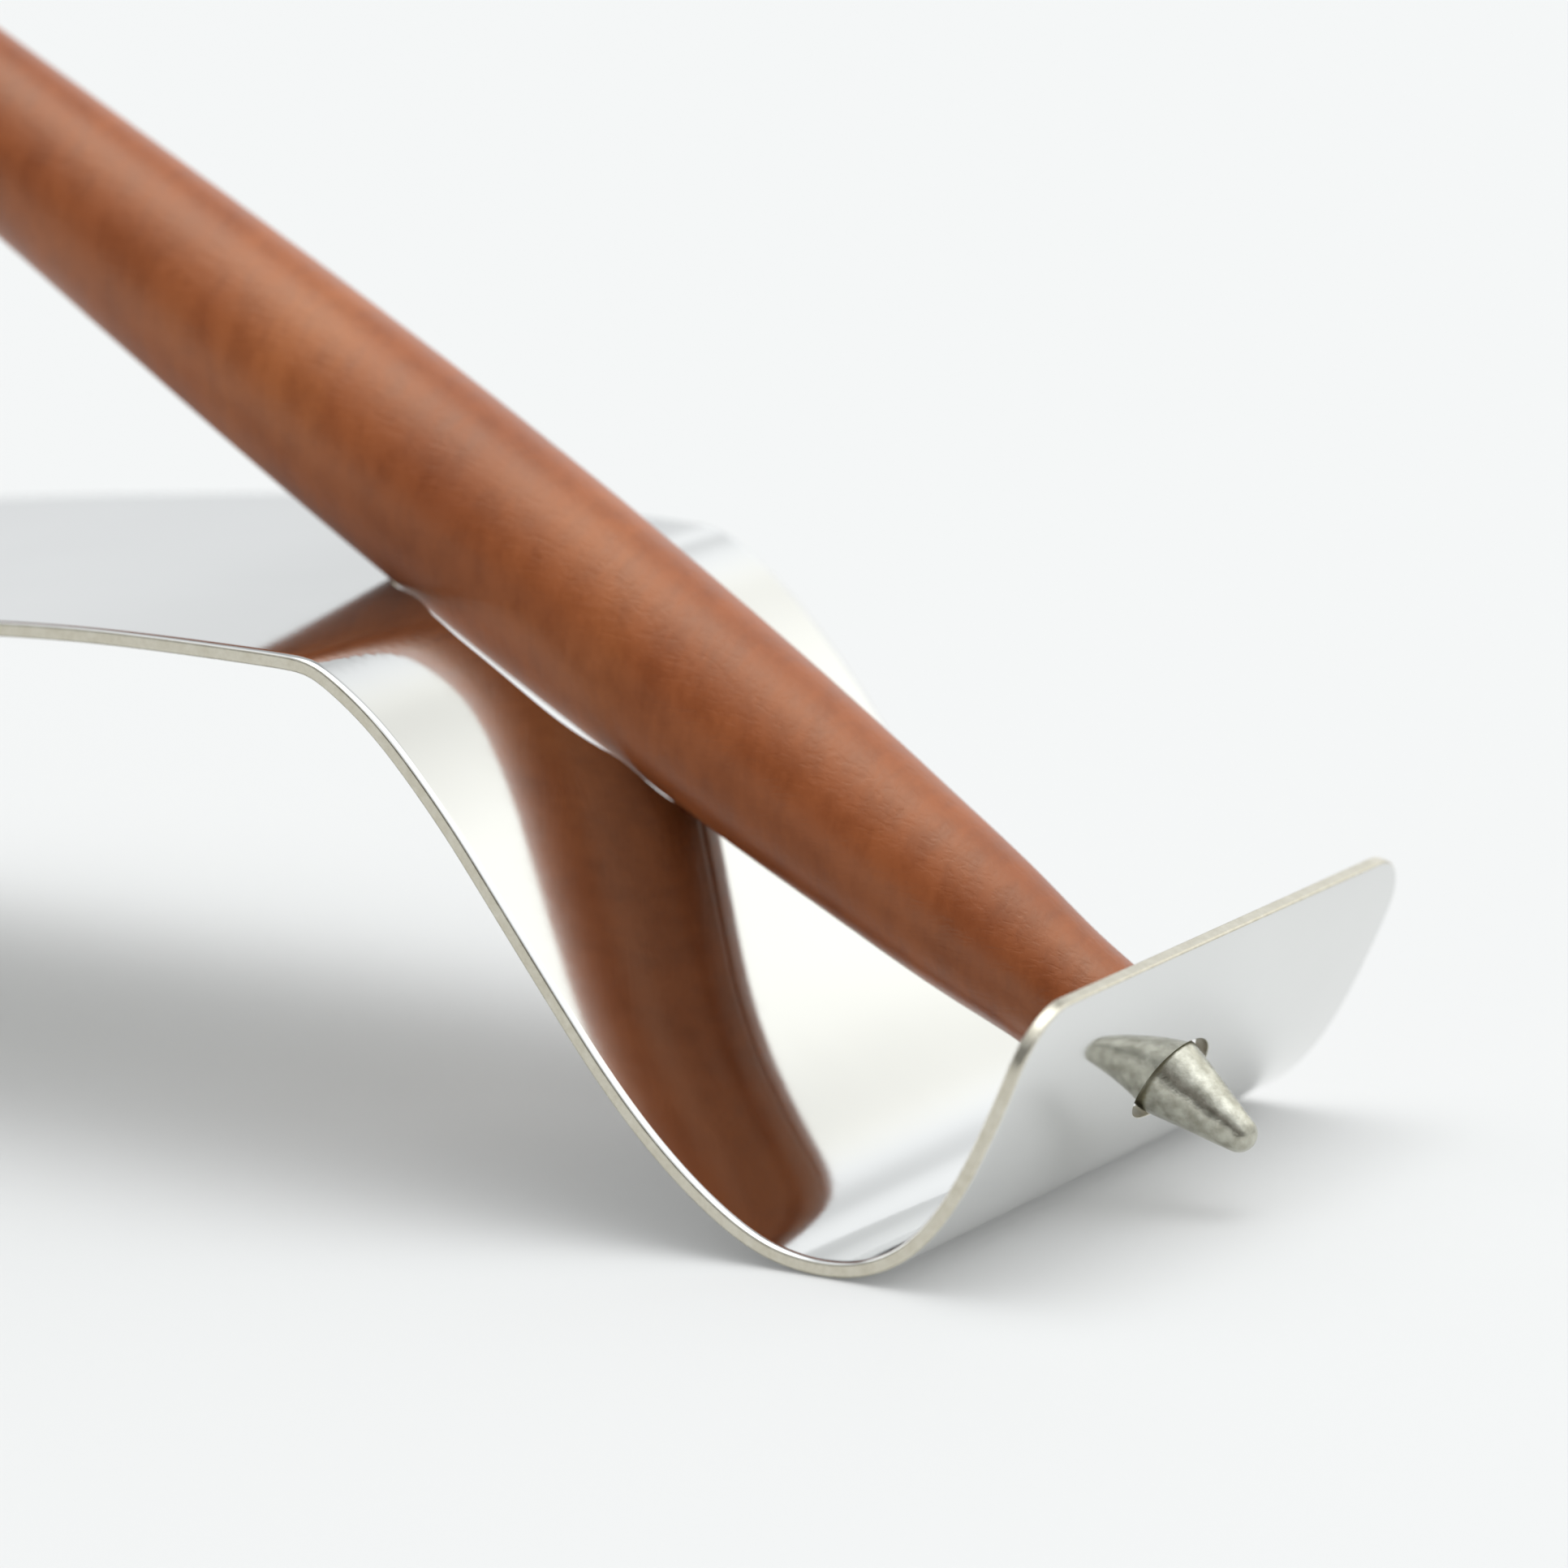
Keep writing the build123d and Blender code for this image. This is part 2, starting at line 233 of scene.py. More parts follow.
def oval_outline():
    """Oval opening, carried from its sloping line onto the sheet's top face."""
    mirrored = [(u, -v) for u, v in reversed(HALF_OVAL[1:-1])]
    drawn = catmull(HALF_OVAL + mirrored)
    top = sheet(curve_s, 0.0, THICK)
    top_u = OVAL_DIR[0] * top[:, 0] + OVAL_DIR[1] * top[:, 2]
    near = (curve_s > OVAL_SEARCH[0]) & (curve_s < OVAL_SEARCH[1])
    oval_s = np.interp(drawn[:, 0], top_u[near], curve_s[near])
    loop = resample(np.stack([oval_s, drawn[:, 1]], 1), OVAL_STEP)
    return smooth_loop(loop, 3)[::-1]       # it was drawn clockwise


def hole_outline():
    """Elliptical hole in the front lip."""
    angle = np.linspace(0, 2 * np.pi, HOLE_POINTS + 1)[:-1]
    return np.stack([HOLE_S + HOLE_HALF_LONG * np.cos(angle), HOLE_HALF_WIDE * np.sin(angle)], 1)


# ------------------------------------------------------------------ the strip's mesh
# Loop, side of it the metal is on (1 = left), width and drop of the top rolled edge
RIMS = [
    (sheet_outline(), 1.0, 0.50, 0.26),
    (oval_outline(), -1.0, 0.16, 0.16),
    (hole_outline(), -1.0, 0.10, 0.10),
]
UNDER_WIDE, UNDER_DROP = 0.35, 0.25         # limits of the rolled edge underneath
ARC_STEPS = 7
GROUND_BANDS = range(ARC_STEPS - 2, ARC_STEPS + 5)      # bands that get the satin edge
GRID_S, GRID_Y = 0.55, 1.1                  # spacing of points inside the flat parts
GRID_CLEAR = 0.38                           # least distance from the grid to a rim

strip_verts, strip_normals, strip_faces = [], [], []
face_slots = []         # material slot of each rim face


def add_verts(points, normals):
    """Adds points and gives the index of the first."""
    first = len(strip_verts)
    strip_verts.extend(points)
    strip_normals.extend(normals)
    return first


def add_rim(loop, side, wide, drop):
    """Rolled edge round a loop; gives the flat parts' borders, each (loop, vertex ids)."""
    into = unit_2d(smooth_loop(loop_normals(loop) * side, 2))
    under_wide, under_drop = min(wide, UNDER_WIDE), min(drop, UNDER_DROP)
    arc = [k / ARC_STEPS * math.pi / 2 for k in range(ARC_STEPS + 1)]
    # inset, height, outward and upward parts of the normal: from the top, round to the underside
    rows = [(wide * (1 - math.sin(q)), THICK - drop * (1 - math.cos(q)),
             math.sin(q) * drop, math.cos(q) * wide) for q in arc]
    rows += [(under_wide * (1 - math.sin(q)), under_drop * (1 - math.cos(q)),
              math.sin(q) * under_drop, -math.cos(q) * under_wide)
             for q in (math.pi / 2 - a for a in arc)]
    starts = []
    for inset, height, outward, upward in rows:
        flat = loop + into * inset
        along, up = sheet_dirs(flat[:, 0])
        out = -(into[:, :1] * along + into[:, 1:] * np.array([[0.0, 1.0, 0.0]]))
        normals = out * outward + up * upward
        normals /= np.linalg.norm(normals, axis=1)[:, None]
        starts.append(add_verts(sheet(flat[:, 0], flat[:, 1], height), normals))
    count = len(loop)
    for band, (a, b) in enumerate(zip(starts, starts[1:])):
        for i in range(count):
            j = (i + 1) % count
            if side > 0:
                strip_faces.append((a + i, b + i, b + j, a + j))
            else:
                strip_faces.append((a + i, a + j, b + j, b + i))
        face_slots.extend([int(band in GROUND_BANDS)] * count)
    ids = np.arange(count)
    return (loop + into * wide, starts[0] + ids), (loop + into * under_wide, starts[-1] + ids)


def inside(polygon, points):
    """Which points lie inside a closed polygon."""
    x, y = points[:, 0], points[:, 1]
    result = np.zeros(len(points), bool)
    for (x1, y1), (x2, y2) in zip(polygon, np.roll(polygon, -1, 0)):
        crosses = (y1 > y) != (y2 > y)
        with np.errstate(divide="ignore", invalid="ignore"):
            result ^= crosses & (x < (x2 - x1) * (y - y1) / (y2 - y1) + x1)
    return result


def on_metal(loops, points):
    """Inside the first loop and outside the others."""
    keep = inside(loops[0], points)
    for loop in loops[1:]:
        keep &= ~inside(loop, points)
    return keep


def fill_grid(loops, border):
    """Staggered grid of points on the metal, clear of the rims."""
    grid_s, grid_y = np.meshgrid(np.arange(REAR_S + 0.8, FRONT_S - 0.4, GRID_S),
                                 np.arange(-WIDTH / 2 + 1.2, WIDTH / 2 - 0.9, GRID_Y),
                                 indexing="ij")
    grid_y = grid_y + 0.55 * (np.arange(grid_s.shape[0]) % 2)[:, None] - 0.27
    grid = np.stack([grid_s.ravel(), grid_y.ravel()], 1)
    grid = grid[on_metal(loops, grid)]
    gap = np.full(len(grid), np.inf)
    for x, y in border:
        gap = np.minimum(gap, np.hypot(grid[:, 0] - x, grid[:, 1] - y))
    return grid[gap > GRID_CLEAR]


def add_flat_part(borders, height, underside):
    """Fills one face of the sheet between its rolled edges."""
    loops = [loop for loop, _ in borders]
    border = np.vstack(loops)
    border_ids = np.concatenate([ids for _, ids in borders])
    edges, first = [], 0
    for loop in loops:
        count = len(loop)
        edges += [(first + i, first + (i + 1) % count) for i in range(count)]
        first += count
    points = np.vstack([border, fill_grid(loops, border)])
    flat, _, triangles, sources, _, _ = geometry.delaunay_2d_cdt(
        [Vector(p) for p in points], edges, [], 0, 1e-7)
    flat = np.array([(v[0], v[1]) for v in flat])
    centres = np.array([flat[list(t)].mean(0) for t in triangles])

    ids, fresh = {}, []
    for i, source in enumerate(sources):
        origin = min(source, default=len(border))
        if origin < len(border):
            ids[i] = int(border_ids[origin])
        else:
            fresh.append(i)
    _, up = sheet_dirs(flat[fresh][:, 0])
    first = add_verts(sheet(flat[fresh][:, 0], flat[fresh][:, 1], height),
                      -up if underside else up)
    for k, i in enumerate(fresh):
        ids[i] = first + k

    for triangle, good in zip(triangles, on_metal(loops, centres)):
        if good:
            face = [ids[i] for i in triangle]
            a, b, c = flat[list(triangle)]
            anticlockwise = (b[0] - a[0]) * (c[1] - a[1]) - (b[1] - a[1]) * (c[0] - a[0]) > 0
            if anticlockwise == underside:
                face.reverse()
            strip_faces.append(tuple(face))


top_borders, under_borders = zip(*[add_rim(*rim) for rim in RIMS])
add_flat_part(top_borders, THICK, False)
add_flat_part(under_borders, 0.0, True)
strip = new_object("strip_sheet", strip_verts, strip_faces, strip_normals)
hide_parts("stand_strip")
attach(strip, "stand")

# ------------------------------------------------------------------ pen axis and turning
# Distances d run back from TIP towards the tail; angles go round the axis, 0 on the upper side.
LEAN = math.radians(30.813)
TIP = np.array([14.764, 0.0, 5.023])
BACK = np.array([-math.cos(LEAN), 0.0, math.sin(LEAN)])
ACROSS = np.array([0.0, 1.0, 0.0])
UPPER = np.cross(ACROSS, BACK)


def on_pen(d, r, angle):
    """Point at distance d along the axis, radius r, angle round it."""
    d, r, angle = np.broadcast_arrays(np.asarray(d, float), r, angle)
    return (TIP + d[..., None] * BACK + (r * np.sin(angle))[..., None] * ACROSS
            + (r * np.cos(angle))[..., None] * UPPER)


def turned(name, section, n_round, ends=None, relief=None, relief_rows=()):
    """Revolves a section [(d, r)] round the pen axis.

    ends gives the d of the two points that close it on the axis; without them the section is a
    closed loop. relief(d, r, angle) is the outward offset of the points of relief_rows.
    """
    section = np.asarray(section, float)
    rows = len(section)
    angles = np.linspace(0, 2 * np.pi, n_round, endpoint=False)
    d, angle = np.meshgrid(section[:, 0], angles, indexing="ij")
    radius = np.repeat(section[:, 1][:, None], n_round, 1)
    for i in relief_rows:
        for j in range(n_round):
            radius[i, j] += relief(d[i, j], radius[i, j], angle[i, j])
    points = list(on_pen(d, radius, angle).reshape(-1, 3))
    faces = []
    for i in range(rows - 1 if ends else rows):
        a, b = i * n_round, ((i + 1) % rows) * n_round
        for j in range(n_round):
            k = (j + 1) % n_round
            faces.append((a + j, b + j, b + k, a + k))
    if ends:
        centre = len(points)
        last = (rows - 1) * n_round
        points += [on_pen(end, 0.0, 0.0) for end in ends]
        faces += [(centre, j, (j + 1) % n_round) for j in range(n_round)]
        faces += [(centre + 1, last + (j + 1) % n_round, last + j) for j in range(n_round)]
    made = new_object(name, points, faces)
    work = bmesh.new()
    work.from_mesh(made.data)
    bmesh.ops.recalc_face_normals(work, faces=work.faces)
    work.to_mesh(made.data)
    work.free()
    shade_smooth(made.data)     # the mesh was written anew
    return made


# ------------------------------------------------------------------ leather cover
# Distance along the axis, radius
BARREL = [
    (7.16, 3.12), (7.8, 3.44), (9.0, 3.66), (10.8, 3.80), (13.9, 3.95), (18.56, 4.47),
    (25.5, 5.035), (33.6, 5.553), (42.9, 5.983), (53.4, 6.255), (65.0, 6.314), (77.7, 6.064),
    (91.6, 5.554), (106.7, 4.952), (123.0, 4.309), (137.0, 3.76), (145.6, 3.42),
]
BARREL_END = BARREL[-1][0]
RELIEF_START, RELIEF_END = 8.4, 145.2       # stretch of the outside that carries creases
RELIEF_FADE = 2.0
OUTSIDE_ROWS = 560                          # dense, so that creases and pores are real shape
LEATHER_WALL = 0.8

# Front mouth from inside to outside, and tail end as (distance, depth below the end radius)
MOUTH = [
    (8.4, 2.66), (7.75, 2.58), (7.32, 2.52), (7.19, 2.60), (7.16, 2.75), (7.17, 2.92),
    (7.24, 3.07), (7.36, 3.19), (7.52, 3.29), (7.75, 3.42), (8.05, 3.52),
]
TAIL_EDGE = [(145.42, 0.03), (145.54, 0.10), (145.59, 0.22), (BARREL_END, 0.5), (BARREL_END, 0.78)]


def natural_spline(xs, ys, x):
    """Natural cubic spline through the nodes, at x."""
    xs, ys = np.asarray(xs, float), np.asarray(ys, float)
    count = len(xs)
    gap = np.diff(xs)
    matrix = np.zeros((count, count))
    right = np.zeros(count)
    matrix[0, 0] = matrix[-1, -1] = 1
    for i in range(1, count - 1):
        matrix[i, i - 1:i + 2] = gap[i - 1], 2 * (gap[i - 1] + gap[i]), gap[i]
        right[i] = 6 * ((ys[i + 1] - ys[i]) / gap[i] - (ys[i] - ys[i - 1]) / gap[i - 1])
    curve = np.linalg.solve(matrix, right)      # second derivatives at the nodes
    x = np.clip(x, xs[0], xs[-1])
    i = np.clip(np.searchsorted(xs, x, side="right") - 1, 0, count - 2)
    a, b = xs[i + 1] - x, x - xs[i]
    return (curve[i] * a**3 / (6 * gap[i]) + curve[i + 1] * b**3 / (6 * gap[i])
            + (ys[i] / gap[i] - curve[i] * gap[i] / 6) * a
            + (ys[i + 1] / gap[i] - curve[i + 1] * gap[i] / 6) * b)


def barrel_r(d):
    return float(natural_spline(*zip(*BARREL), d))


def noise_at(x, y, z):
    return noise.noise(Vector((x, y, z)))


def leather_relief(d, r, angle):
    """Creases, pores and the butt seam along the underside."""
    fade = min(1.0, (d - RELIEF_START) / RELIEF_FADE, (RELIEF_END - d) / RELIEF_FADE)
    x, y = r * math.cos(angle), r * math.sin(angle)
    offset = noise_at(d * 0.16, x * 0.16, y * 0.16) * 0.020     # slow swell
    # fine creases that mostly run round the barrel, in patches
    waver = noise_at(d * 0.5, x * 0.25, y * 0.25) * 1.3
    crease = noise_at(d * 2.3 + waver, x * 0.55, y * 0.55)
    patch = max(0.0, noise_at(d * 0.09 + 7.0, x * 0.14, y * 0.14) + 0.25)
    offset -= (1.0 - min(1.0, abs(crease) * 9.0)) * 0.011 * patch
    offset += noise_at(d * 1.5, x * 1.5, y * 1.5) * 0.004       # pores
    # seam groove, with a low ridge on either side
    from_seam = (angle - math.pi) * r
    offset -= 0.16 * math.exp(-(from_seam / 0.13) ** 2)
    offset += 0.03 * math.exp(-((abs(from_seam) - 0.42) / 0.25) ** 2)
    return offset * max(0.0, fade)


def build_leather():
    end_r = barrel_r(BARREL_END)
    outside = [(d, barrel_r(d)) for d in np.linspace(RELIEF_START, RELIEF_END, OUTSIDE_ROWS)]
    tail = [(d, end_r - depth) for d, depth in TAIL_EDGE]
    bore = [(d, barrel_r(d) - LEATHER_WALL) for d in np.linspace(RELIEF_END, 9.0, 60)]
    return turned("leather_cover", MOUTH + outside + tail + bore, 180, relief=leather_relief,
                  relief_rows=range(len(MOUTH), len(MOUTH) + OUTSIDE_ROWS))


leather = build_leather()
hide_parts("leather_sleeve")
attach(leather, "barrel")

# ------------------------------------------------------------------ writing tip
# Rounded end and cone, a short collar, and a plain shank behind.
NOSE_R = 1.103
CONE_END, COLLAR_R = 5.45, 2.50
SHANK_R, SHANK_END = 1.60, 24.0

# Distance, radius: from a fine groove behind the cone to the end of the shank
COLLAR_SHANK = [
    (5.36, 2.474), (5.50, 2.492), (5.64, COLLAR_R), (5.9, COLLAR_R), (6.4, COLLAR_R),
    (6.98, COLLAR_R), (7.06, 2.46), (7.10, 2.38), (7.10, 2.0), (7.10, SHANK_R), (12.0, SHANK_R),
    (23.6, SHANK_R), (SHANK_END, 1.2),
]


def tip_relief(d, r, angle):
    """Slight unevenness of the polished end and cone."""
    place = Vector((d * 0.55, math.cos(angle) * 1.3, math.sin(angle) * 1.3))
    return noise.noise(place) * 0.030 + noise.noise(place * 3.1) * 0.010


def build_tip():
    taper = math.atan2(COLLAR_R - NOSE_R, CONE_END)
    nose = [(-NOSE_R * math.cos(q), NOSE_R * math.sin(q))
            for q in np.linspace(math.radians(4), math.pi / 2 - taper, 14)]
    start_d, start_r = -NOSE_R * math.sin(taper), NOSE_R * math.cos(taper)
    cone = [(start_d + (CONE_END - start_d) * t, start_r + (COLLAR_R - start_r) * t)
            for t in np.linspace(0.04, 0.96, 50)]
    # the cone's last row stays round
    return turned("tip_point", nose + cone + COLLAR_SHANK, 96, ends=(-NOSE_R, SHANK_END),
                  relief=tip_relief, relief_rows=range(len(nose) + len(cone) - 1))


tip = build_tip()
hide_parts("writing_tip")
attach(tip, "tip")

# ------------------------------------------------------------------ tail plug
# Domed end with a fine turned groove, and a spigot inside the barrel.
PLUG_R = 3.36
PLUG_START, DOME_START = 145.63, 147.0
SPIGOT_R, SPIGOT_START = 1.93, 132.0


def build_plug():
    section = [
        (SPIGOT_START, 0.6), (SPIGOT_START, SPIGOT_R), (132.4, SPIGOT_R), (138.0, SPIGOT_R),
        (PLUG_START, SPIGOT_R), (PLUG_START, 2.6), (PLUG_START, PLUG_R - 0.16),
        (PLUG_START + 0.05, PLUG_R - 0.05), (PLUG_START + 0.16, PLUG_R), (146.2, PLUG_R),
        (146.34, PLUG_R - 0.05), (146.42, PLUG_R - 0.12), (146.50, PLUG_R - 0.12),
        (146.58, PLUG_R - 0.05), (146.7, PLUG_R), (DOME_START, PLUG_R),
    ]
    section += [(DOME_START + PLUG_R * math.sin(q), PLUG_R * math.cos(q))
                for q in np.radians(np.linspace(4, 87, 22))]
    return turned("tail_cap", section, 96, ends=(SPIGOT_START, DOME_START + PLUG_R))


plug = build_plug()
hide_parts("tail_plug")
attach(plug, "barrel")


# ------------------------------------------------------------------ node helpers
def set_input(tree, socket, value):
    """Links a socket into an input, or sets the input's value."""
    if isinstance(value, bpy.types.NodeSocket):
        tree.links.new(value, socket)
    else:
        socket.default_value = value


def set_inputs(tree, target, **inputs):
    """Inputs by name, with _ for a space."""
    for key, value in inputs.items():
        set_input(tree, target.inputs[key.replace("_", " ")], value)


def add_node(tree, kind, **inputs):
    made = tree.nodes.new(kind)
    set_inputs(tree, made, **inputs)
    return made


def new_material(name):
    """Material with a lone Principled shader: material, tree, shader."""
    made = bpy.data.materials.new(name)
    made.use_nodes = True
    tree = made.node_tree
    tree.nodes.clear()
    output = tree.nodes.new("ShaderNodeOutputMaterial")
    shader = tree.nodes.new("ShaderNodeBsdfPrincipled")
    tree.links.new(shader.outputs[0], output.inputs[0])
    return made, tree, shader


def object_coords(tree):
    return add_node(tree, "ShaderNodeTexCoord").outputs["Object"]


def mapping(tree, vector, tilt, scale):
    """Coordinates turned about Y and stretched."""
    return add_node(tree, "ShaderNodeMapping", Vector=vector, Rotation=(0.0, tilt, 0.0),
                    Scale=scale).outputs[0]


def noise_texture(tree, vector, **settings):
    return add_node(tree, "ShaderNodeTexNoise", Vector=vector, **settings).outputs["Fac"]


def ramp(tree, factor, stops):
    """Colour ramp of (position, colour or grey level)."""
    made = add_node(tree, "ShaderNodeValToRGB", Fac=factor)
    elements = made.color_ramp.elements
    while len(elements) < len(stops):
        elements.new(0.5)
    for element, (position, colour) in zip(elements, stops):
        if isinstance(colour, float):
            colour = (colour, colour, colour)
        element.position = position
        element.color = (*colour, 1.0)
    return made.outputs[0]


def bump(tree, height, **settings):
    return add_node(tree, "ShaderNodeBump", Height=height, **settings).outputs[0]


def mix_colour(tree, factor, first, second, blend="MIX"):
    made = tree.nodes.new("ShaderNodeMix")
    made.data_type = "RGBA"
    made.blend_type = blend
    set_inputs(tree, made, Factor=factor)
    set_input(tree, made.inputs[6], first)      # colour A
    set_input(tree, made.inputs[7], second)     # colour B
    return made.outputs[2]


def srgb(*channels):
    """Linear colour from 0-255 sRGB."""
    return tuple((c / 255) / 12.92 if c / 255 <= 0.04045 else ((c / 255 + 0.055) / 1.055) ** 2.4
                 for c in channels)


# ------------------------------------------------------------------ materials
def polished_sheet():
    """Polished stainless sheet."""
    made, tree, shader = new_material("polished_sheet")
    coords = object_coords(tree)
    grain = noise_texture(tree, coords, Scale=900.0, Detail=4.0, Roughness=0.6)
    cloud = noise_texture(tree, coords, Scale=60.0, Detail=3.0)
    set_inputs(
        tree, shader, Metallic=1.0,
        Base_Color=ramp(tree, cloud, [(0.3, (0.735, 0.74, 0.73)), (0.7, (0.765, 0.77, 0.76))]),
        Roughness=ramp(tree, grain, [(0.3, 0.055), (0.75, 0.085)]),
        Normal=bump(tree, grain, Strength=0.015, Distance=0.00002))
    return made


def one_noise_material(name, coords_of, noise_settings, colours, roughness, bump_settings=None,
                       metallic=None):
    """Material whose colour, roughness and bump all follow one noise."""
    made, tree, shader = new_material(name)
    grain = noise_texture(tree, coords_of(tree), **noise_settings)
    set_inputs(tree, shader, Base_Color=ramp(tree, grain, colours))
    if isinstance(roughness, float):
        set_inputs(tree, shader, Roughness=roughness)
    else:
        set_inputs(tree, shader, Roughness=ramp(tree, grain, roughness))
    if bump_settings:
        set_inputs(tree, shader, Normal=bump(tree, grain, **bump_settings))
    if metallic is not None:
        set_inputs(tree, shader, Metallic=metallic)
    return made


def ground_edge():
    """Satin cut edge of the sheet."""
    return one_noise_material(
        "ground_edge", object_coords,
        noise_settings=dict(Scale=1400.0, Detail=5.0, Roughness=0.7),
        colours=[(0.25, srgb(196, 190, 172)), (0.8, srgb(226, 222, 208))],
        roughness=[(0.2, 0.26), (0.8, 0.42)],
        bump_settings=dict(Strength=0.25, Distance=0.00004), metallic=1.0)


def tan_leather():
    """Vegetable-tanned leather."""
    made, tree, shader = new_material("tan_leather")
    coords = object_coords(tree)
    along_pen = mapping(tree, coords, tilt=-LEAN, scale=(1.6, 0.7, 0.7))
    tone = noise_texture(tree, along_pen, Scale=55.0, Detail=5.0, Roughness=0.55)
    mottle = noise_texture(tree, along_pen, Scale=420.0, Detail=6.0, Roughness=0.65)
    fine = noise_texture(tree, along_pen, Scale=2600.0, Detail=4.0, Roughness=0.6)
    pores = add_node(tree, "ShaderNodeTexVoronoi", Vector=along_pen, Scale=1500.0)
    tan = ramp(tree, tone, [(0.30, srgb(149, 75, 35)), (0.55, srgb(162, 86, 42)),
                            (0.80, srgb(175, 99, 51))])
    darker = ramp(tree, mottle, [(0.34, (0.74, 0.68, 0.64)), (0.60, 1.0)])
    set_inputs(
        tree, shader,
        Base_Color=mix_colour(tree, 0.8, tan, darker, blend="MULTIPLY"),
        Roughness=ramp(tree, mottle, [(0.3, 0.34), (0.7, 0.44)]),
        Specular_IOR_Level=0.80, Specular_Tint=(1.0, 0.86, 0.66, 1))
    stretched = mapping(tree, coords, tilt=-0.31, scale=(0.22, 1.25, 1.25))
    crease = noise_texture(tree, stretched, Scale=2100.0, Detail=3.0, Roughness=0.5,
                           Distortion=0.5)
    creases = ramp(tree, crease, [(0.36, 0.0), (0.50, 1.0)])
    # each bump adds to the one before
    normal = bump(tree, creases, Strength=0.30, Distance=0.00003)
    normal = bump(tree, mottle, Strength=0.60, Distance=0.00007, Normal=normal)
    normal = bump(tree, fine, Strength=0.45, Distance=0.00003, Normal=normal)
    normal = bump(tree, pores.outputs["Distance"], Strength=0.30, Distance=0.00003, Normal=normal)
    set_inputs(tree, shader, Normal=normal)
    return made


def writing_metal():
    """Pale metal of the tip and tail plug."""
    made, tree, shader = new_material("writing_metal")
    coords = object_coords(tree)
    grain = noise_texture(tree, coords, Scale=2200.0, Detail=6.0, Roughness=0.75)
    stain = noise_texture(tree, coords, Scale=1400.0, Detail=6.0)
    set_inputs(
        tree, shader, Metallic=1.0,
        Base_Color=ramp(tree, stain, [(0.3, srgb(160, 158, 144)), (0.7, srgb(204, 203, 190))]),
        Roughness=ramp(tree, grain, [(0.25, 0.10), (0.8, 0.24)]),
        Normal=bump(tree, grain, Strength=0.5, Distance=0.00006))
    return made


def turned_wood():
    """Wood with its grain along the pen."""
    return one_noise_material(
        "turned_wood",
        lambda tree: mapping(tree, object_coords(tree), tilt=-LEAN, scale=(0.12, 1.0, 1.0)),
        noise_settings=dict(Scale=700.0, Detail=6.0, Roughness=0.6),
        colours=[(0.3, srgb(150, 108, 70)), (0.7, srgb(192, 152, 108))],
        roughness=0.55, bump_settings=dict(Strength=0.3, Distance=0.00006))


def turned_brass():
    return one_noise_material(
        "turned_brass", object_coords, noise_settings=dict(Scale=1200.0, Detail=4.0),
        colours=[(0.3, srgb(196, 160, 88)), (0.7, srgb(224, 192, 120))],
        roughness=[(0.3, 0.22), (0.7, 0.34)], metallic=1.0)


steel = polished_sheet()
strip.data.materials.append(steel)
strip.data.materials.append(ground_edge())
flat_faces = len(strip.data.polygons) - len(face_slots)
strip.data.polygons.foreach_set("material_index", face_slots + [0] * flat_faces)

hide = tan_leather()
leather.data.materials.append(hide)
pale_metal = writing_metal()
tip.data.materials.append(pale_metal)
plug.data.materials.append(pale_metal)

# The CAD pieces take the same materials; the core and the bush are hidden inside the pen.
CAD_MATERIALS = {
    "barrel_core": turned_wood(), "tip_bush": turned_brass(), "stand_strip": steel,
    "leather_sleeve": hide, "writing_tip": pale_metal, "tail_plug": pale_metal,
}
for piece, look in CAD_MATERIALS.items():
    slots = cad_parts[piece].data.materials
    slots.clear()
    slots.append(look)


# ------------------------------------------------------------------ floor
def build_floor():
    mesh = bpy.data.meshes.new("floor")
    mesh.from_pydata([(-6, -6, 0), (6, -6, 0), (6, 6, 0), (-6, 6, 0)], [], [(0, 1, 2, 3)])
    made = link_object("floor", mesh)
    made.location = (0.1, 0, -0.00002)      # just below the strip, in metres
    look, tree, shader = new_material("pale_floor")
    # The floor also glows faintly through its emission. This is painted light: it lifts the shadows
    # cast on the floor evenly and throws a little light up onto the pieces.
    set_inputs(tree, shader, Base_Color=(*srgb(211, 211, 210), 1), Roughness=0.9,
               Specular_IOR_Level=0.1, Emission_Color=(0.985, 1.0, 0.99, 1),
               Emission_Strength=0.12)
    mesh.materials.append(look)
    return made


build_floor()

# ------------------------------------------------------------------ room light
# Angles in degrees; azimuth runs from +Y towards +X.
ROOM_BASE = 0.06
# Soft round lights of a bright room: azimuth, elevation, strength
ROOM = [
    (0, 12, 0.55), (30, 12, 0.62), (60, 12, 0.47), (90, 12, 0.77), (120, 12, 0.18),
    (300, 12, 0.22), (330, 12, 0.74), (215, 12, 0.16), (245, 12, 0.24), (270, 12, 0.24),
    (18, 36, 0.67), (54, 36, 0.61), (90, 36, 0.50), (126, 36, 0.36), (270, 36, 0.30),
    (342, 36, 0.34), (220, 36, 0.16),
    (60, 60, 1.35), (120, 60, 0.66), (180, 60, 0.80), (240, 60, 0.74), (300, 60, 0.47),
    (0, 86, 2.80),
]
WARM_STRENGTH = 0.16
COOL_TINT = (0.965, 0.985, 1.0, 1)
WINDOW_TINT = (1.0, 1.0, 0.955, 1)
WARM_TINT = (1.0, 0.92, 0.86, 1)


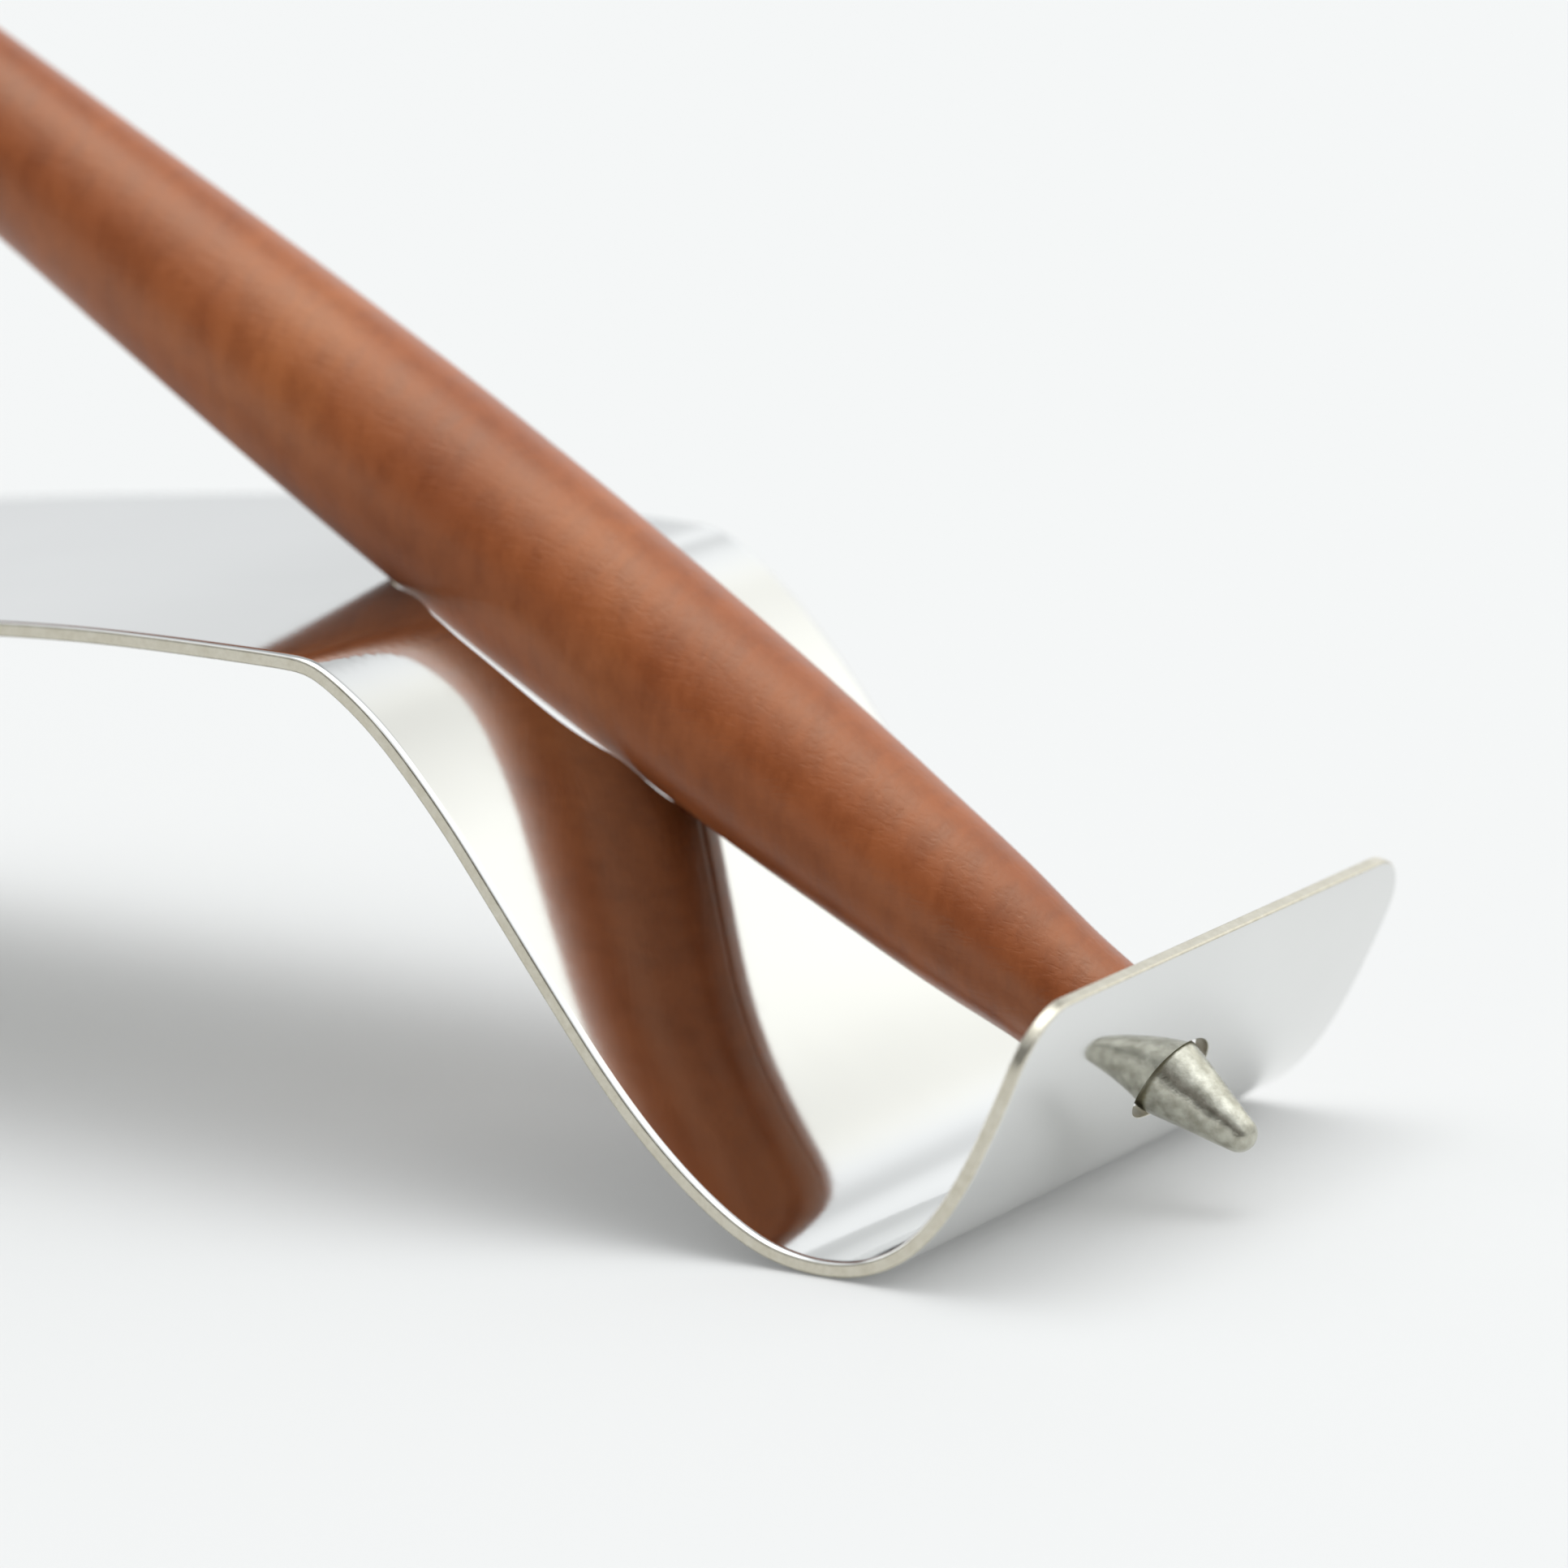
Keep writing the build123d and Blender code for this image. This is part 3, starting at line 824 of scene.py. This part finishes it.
def build_world():
    world = bpy.data.worlds.new("studio")
    bpy.context.scene.world = world
    world.use_nodes = True
    tree = world.node_tree

    def calc(operation, *values):
        made = tree.nodes.new("ShaderNodeMath")
        made.operation = operation
        for i, value in enumerate(values):
            set_input(tree, made.inputs[i], value)
        return made.outputs[0]

    def step(value, low, high):
        """0 below low, 1 above high, smooth between."""
        made = add_node(tree, "ShaderNodeMapRange", Value=value, From_Min=low, From_Max=high)
        made.interpolation_type = "SMOOTHSTEP"
        return made.outputs["Result"]

    coords = add_node(tree, "ShaderNodeTexCoord").outputs["Generated"]
    dx, dy, dz = add_node(tree, "ShaderNodeSeparateXYZ", Vector=coords).outputs
    to_degrees = 57.29578
    elevation = calc("MULTIPLY", calc("ARCSINE", dz), to_degrees)
    azimuth = calc("MULTIPLY", calc("ARCTAN2", dx, dy), to_degrees)

    def between(value, low, high, soft):
        return calc("MULTIPLY", step(value, low - soft, low + soft),
                    calc("SUBTRACT", 1.0, step(value, high - soft, high + soft)))

    def blob(azimuth_at, elevation_at, inner, outer):
        """Round light centred on a direction, full within inner and gone beyond outer."""
        az, el = math.radians(azimuth_at), math.radians(elevation_at)
        x, y, z = math.cos(el) * math.sin(az), math.cos(el) * math.cos(az), math.sin(el)
        dot = calc("ADD", calc("ADD", calc("MULTIPLY", dx, x), calc("MULTIPLY", dy, y)),
                   calc("MULTIPLY", dz, z))
        return step(dot, math.cos(math.radians(outer)), math.cos(math.radians(inner)))

    lights = [calc("MULTIPLY", blob(az, el, inner=6.0, outer=30.0), strength)
              for az, el, strength in ROOM]
    level = ROOM_BASE
    for light in lights:
        level = calc("ADD", level, light)
    window = calc("MULTIPLY", between(azimuth, 2.0, 44.0, soft=6.0),
                  between(elevation, 15.0, 40.0, soft=6.0))
    tint = mix_colour(tree, window, COOL_TINT, WINDOW_TINT)
    warm = blob(152.0, 17.0, inner=6.0, outer=20.0)
    level = calc("ADD", level, calc("MULTIPLY", warm, WARM_STRENGTH))
    set_inputs(tree, tree.nodes["Background"], Strength=level,
               Color=mix_colour(tree, warm, tint, WARM_TINT))


build_world()

# ------------------------------------------------------------------ camera
CAMERA_AZIMUTH = math.radians(59.134)       # from +X towards -Y
CAMERA_ELEVATION = math.radians(13.066)
CAMERA_DISTANCE = 455.50
CAMERA_AIM = np.array([-16.157, 0.0, 22.281])
FOCUS = np.array([-6.0, -14.0, 12.0])


def build_camera(scene):
    level = math.cos(CAMERA_ELEVATION)
    to_eye = np.array([level * math.cos(CAMERA_AZIMUTH), -level * math.sin(CAMERA_AZIMUTH),
                       math.sin(CAMERA_ELEVATION)])
    data = bpy.data.cameras.new("camera")
    data.sensor_width = 36.0
    data.lens = 174.696894
    data.clip_start, data.clip_end = 0.01, 50
    camera = link_object("camera", data)
    camera.location = to_frame(CAMERA_AIM + CAMERA_DISTANCE * to_eye)
    camera.rotation_euler = Vector(-to_eye).to_track_quat("-Z", "Y").to_euler()
    scene.camera = camera
    focus = link_object("focus_point", None)
    focus.location = to_frame(FOCUS)
    focus.empty_display_size = 0.001
    data.dof.use_dof = True
    data.dof.aperture_fstop = 22.0
    data.dof.focus_object = focus


scene = bpy.context.scene
build_camera(scene)
scene.view_settings.view_transform = "Standard"
scene.view_settings.look = "None"
scene.view_settings.exposure = 0.0
